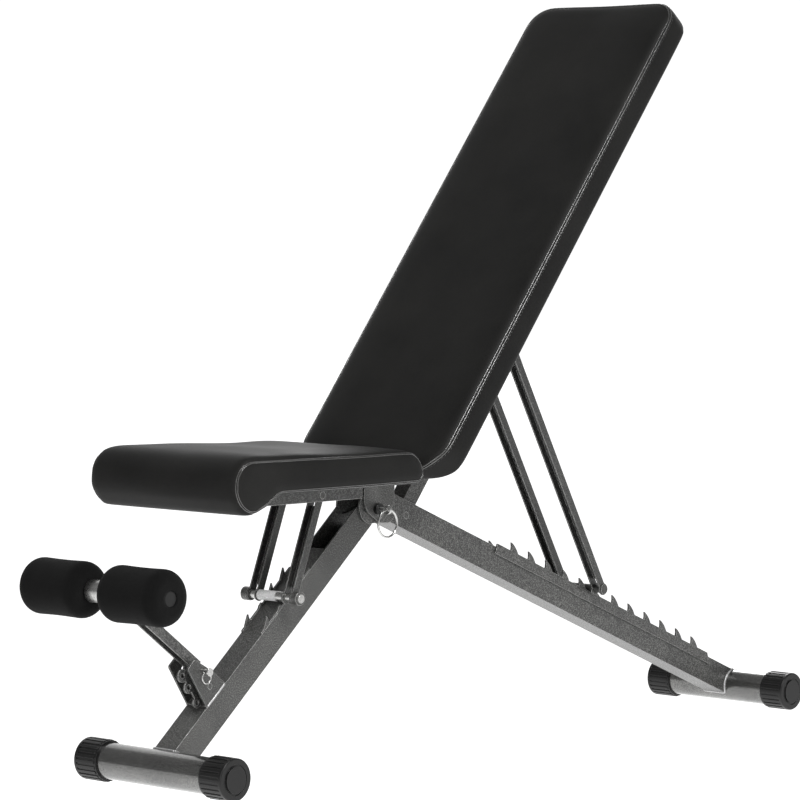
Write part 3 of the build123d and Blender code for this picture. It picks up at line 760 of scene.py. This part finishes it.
for label in ("near", "far"):
    lo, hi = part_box("foam_roller_" + label)
    cx, cz = (lo[0] + hi[0]) / 2, (lo[2] + hi[2]) / 2
    radius = (hi[2] - lo[2]) / 2
    body = roller_profile(radius, hi[1] - lo[1])
    verts, faces = [], []
    for q, t in body:
        for k in range(FOAM_SIDES):
            a = 2 * pi * k / FOAM_SIDES
            uneven = 1.0 + 0.004 * noise.noise(Vector((cos(a) * 2, sin(a) * 2, t * 30)))
            reach = min(q * (uneven if q > 0.02 else 1.0), radius)
            verts.append((cx + reach * cos(a), lo[1] + t, cz + reach * sin(a)))
    rows = len(body)
    for i in range(rows):
        this, following = i * FOAM_SIDES, (i + 1) % rows * FOAM_SIDES
        for k in range(FOAM_SIDES):
            k2 = (k + 1) % FOAM_SIDES
            faces.append((this + k, following + k, following + k2, this + k2))
    piece = mesh_object("roller_foam_" + label, verts, faces, mats["black_foam"])
    bm = bmesh.new()
    bm.from_mesh(piece.data)
    bmesh.ops.recalc_face_normals(bm, faces=bm.faces)
    bm.to_mesh(piece.data)
    bm.free()
    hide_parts("foam_roller_" + label)
    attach(piece, "roller_" + label)

# ------------------------------------------------------------------ weld beads, and bright beads as a painted highlight on the leg bracket
BEAD_SIDES = 10
FOOT_BEAD, BRACKET_BEAD = 0.0021, 0.0019                      # radii
BEAM_HEADING, POST_HEADING = radians(158.1), radians(40.9)    # where beam and post leave their foot tubes


def bead_run(name, points, normal, radius, body):
    """A rippled bright bead along a seam: a weld between two welded pieces, or a painted highlight along an
    edge.
    """
    pts = resample(points, radius * 0.55, closed=False)
    path = [(p, normal) for p in pts]
    piece = tube(name, path, radius, weld_and_highlight_mat, closed=False, sides=BEAD_SIDES)
    for i, v in enumerate(piece.data.vertices):
        ring = i // BEAD_SIDES
        p = pts[ring]
        swell = 0.86 + 0.14 * abs(sin(ring * 0.9)) + 0.06 * noise.noise(p * 300)
        v.co = p + (v.co - p) * swell
    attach(piece, body)


def foot_weld(label, node, body, heading, half, offset, width):
    """Beads round a foot tube where a square member is coped onto it."""
    lo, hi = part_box(node)
    centre = Vector(((lo[0] + hi[0]) / 2, 0, (lo[2] + hi[2]) / 2))
    r = (hi[2] - lo[2]) / 2 + 0.0006
    ends = [heading - asin((half + offset) * S / r), heading + asin((half - offset) * S / r)]
    arc = [ends[0] + (ends[1] - ends[0]) * i / 16 for i in range(17)]
    for tag, side in (("near", -1), ("far", 1)):
        line = [centre + Vector((r * cos(a), side * width * S, r * sin(a))) for a in arc]
        bead_run("weld_%s_%s" % (label, tag), line, Vector((0, side, 0)), FOOT_BEAD, body)
    for tag, a in (("upper", ends[0]), ("lower", ends[1])):
        line = [centre + Vector((r * cos(a), y * width * S, r * sin(a))) for y in (-1, -0.3, 0.3, 1)]
        bead_run("weld_%s_%s" % (label, tag), line, Vector((cos(a), 0, sin(a))), FOOT_BEAD, body)


foot_weld("rear_foot", "rear_foot_tube", "rear_frame", BEAM_HEADING, 20.0, 2.0, 20.0)
foot_weld("front_foot", "front_foot_tube", "front_leg", POST_HEADING, 20.0, 5.0, 19.5)
foot_lo, foot_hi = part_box("front_foot_tube")
post_dir = Vector((cos(POST_HEADING), 0, sin(POST_HEADING)))
post_out = Vector((-post_dir.z, 0, post_dir.x))
post_base = Vector(((foot_lo[0] + foot_hi[0]) / 2 + 0.0081, 0, (foot_lo[2] + foot_hi[2]) / 2))
# Painted highlight: bright beads along the base of the leg bracket, where its bent edge catches the light.
for tag, side in (("near", -1), ("far", 1)):
    offset = Vector((0, side * 0.0193, 0))
    line = [post_base + post_dir * s * S + post_out * 0.0206 + offset for s in (97, 110, 125, 139)]
    bead_run("weld_leg_bracket_" + tag, line, Vector((0, side, 0)), BRACKET_BEAD, "front_leg")

# ------------------------------------------------------------------ stage
# The folded leg and the seat swing below the feet's level, so the floor lies well under them.
FLOOR_LEVEL, FLOOR_HALF = -0.6, 40       # metres
CARD_AWAY, DOME_RADIUS = 28, 60          # metres
floor_mat, ft, fb = new_material("floor_white")
fn = noise_tex(ft, coords(ft), 3.0, 2.0)
fc = ramp(ft, fn, [(0.3, (0.86, 0.86, 0.86)), (0.7, (0.9, 0.9, 0.9))])
ft.links.new(fc.outputs["Color"], fb.inputs["Base Color"])
fb.inputs["Roughness"].default_value = 0.9
fb.inputs["Specular IOR Level"].default_value = 0.1
fb.inputs["Emission Color"].default_value = (1, 1, 1, 1)
fb.inputs["Emission Strength"].default_value = 0.76
floor_corners = [(x * FLOOR_HALF, y * FLOOR_HALF, FLOOR_LEVEL)
                 for x, y in ((-1, -1), (1, -1), (1, 1), (-1, 1))]
floor = mesh_object("floor", floor_corners, [(0, 1, 2, 3)], floor_mat, False)

card_mat, ct, cb = new_material("card_white")
cn = noise_tex(ct, coords(ct), 1.0, 1.0)
cc = ramp(ct, cn, [(0.3, (0.98, 0.98, 0.98)), (0.7, (1, 1, 1))])
ct.links.new(cc.outputs["Color"], cb.inputs["Emission Color"])
cb.inputs["Emission Strength"].default_value = 1.05
cb.inputs["Base Color"].default_value = (0, 0, 0, 1)
away = Vector((0.7393, 0.6714, 0.0)).normalized()
across = Vector((-away.y, away.x, 0.0))
card_corners = [away * CARD_AWAY + across * a + Vector((0, 0, z))
                for a, z in ((-36, -4), (36, -4), (36, 32), (-36, 32))]
card = mesh_object("backdrop", card_corners, [(0, 1, 2, 3)], card_mat, False)

# A sphere that only the camera sees, so that every side has the same white behind it.
rings, sides = 12, 32
dome_verts, dome_faces = [], []
for i in range(rings + 1):
    rise = pi * (i / rings - 0.5)
    for k in range(sides):
        turn = 2 * pi * k / sides
        dome_verts.append((DOME_RADIUS * cos(rise) * cos(turn), DOME_RADIUS * cos(rise) * sin(turn),
                           DOME_RADIUS * sin(rise)))
for i in range(rings):
    for k in range(sides):
        k2 = (k + 1) % sides
        dome_faces.append((i * sides + k, i * sides + k2, (i + 1) * sides + k2, (i + 1) * sides + k))
dome = mesh_object("studio_surround", dome_verts, dome_faces, card_mat, False)
dome.visible_diffuse = dome.visible_glossy = dome.visible_transmission = False
dome.visible_volume_scatter = dome.visible_shadow = False

world = bpy.data.worlds.new("studio")
scene.world = world
world.use_nodes = True
bg = world.node_tree.nodes["Background"]
bg.inputs["Color"].default_value = (1, 1, 1, 1)
bg.inputs["Strength"].default_value = 0.28


def light(name, loc, target, size, power):
    """A square area light that faces a target."""
    d = bpy.data.lights.new(name, "AREA")
    d.energy = power
    d.shape = "RECTANGLE"
    d.size = d.size_y = size
    o = bpy.data.objects.new(name, d)
    scene.collection.objects.link(o)
    o.location = loc
    o.rotation_euler = (Vector(target) - Vector(loc)).to_track_quat("-Z", "Y").to_euler()
    return o


light("key", (-0.75, -2.5, 2.9), (0, 0, 0.5), 1.1, 130)
light("front", (-3.4, -0.9, 1.3), (-0.3, 0, 0.3), 1.2, 26)
light("rim", (2.6, 1.8, 1.8), (0.2, 0, 0.6), 1.0, 20)

scene.view_settings.view_transform = "Standard"
scene.view_settings.look = "None"
scene.view_settings.exposure = 0.0

# ------------------------------------------------------------------ camera
# Fitted to the photo: its place, its axes and its lens.
LENS = 163.34                            # millimetres, on a 36 mm sensor
CAMERA_AT = (-3.92453, -3.48081, 0.77508)
cam = bpy.data.cameras.new("camera")
cam.sensor_fit = "HORIZONTAL"
cam.sensor_width = 36.0
cam.lens = LENS
cam.clip_start = 0.1
cam.clip_end = 200
cam.dof.use_dof = False
cam_obj = bpy.data.objects.new("camera", cam)
scene.collection.objects.link(cam_obj)
right = Vector((0.67250563, -0.74006385, 0.00645509))
up = Vector((0.03385236, 0.03947262, 0.99864705))
back = Vector((-0.73931738, -0.67137725, 0.05159847))
rot = Matrix((right, up, back)).transposed().to_4x4()
cam_obj.matrix_world = Matrix.Translation(CAMERA_AT) @ rot
scene.camera = cam_obj
